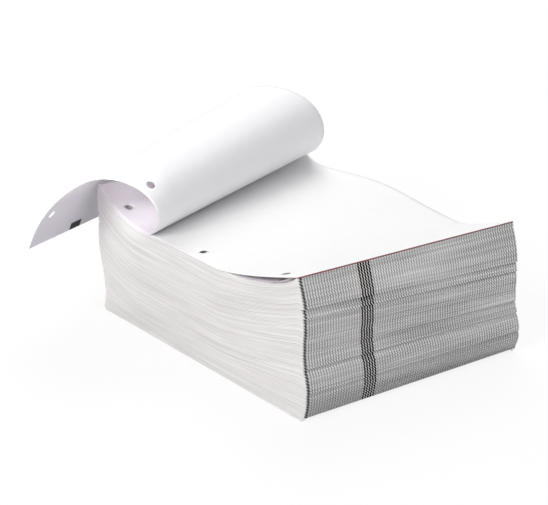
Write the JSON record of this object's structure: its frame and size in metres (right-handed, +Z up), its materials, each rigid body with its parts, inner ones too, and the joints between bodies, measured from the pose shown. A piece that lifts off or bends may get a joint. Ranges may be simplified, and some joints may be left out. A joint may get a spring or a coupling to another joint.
{
  "type": "fanfold thermal paper pack",
  "caption": "Pack of fanfold thermal chart paper with binder holes, folded page on page, its top page peeled back in a loose roll.",
  "frame": {"origin": "centre of the pack's flat underside", "axes": "+X from the left folds, where the peeled page hangs over, to the right folds; +Y from the near cut edge with the binder holes to the far cut edge; +Z up"},
  "size_m": [0.3772, 0.2876, 0.1649],
  "materials": {
    "thermal_paper": "matte, plain white on its back and very pale pink with a printed grid on its coated face"
  },
  "bodies": {
    "root": {"folded_web": "thermal_paper"}
  },
  "joints": []
}
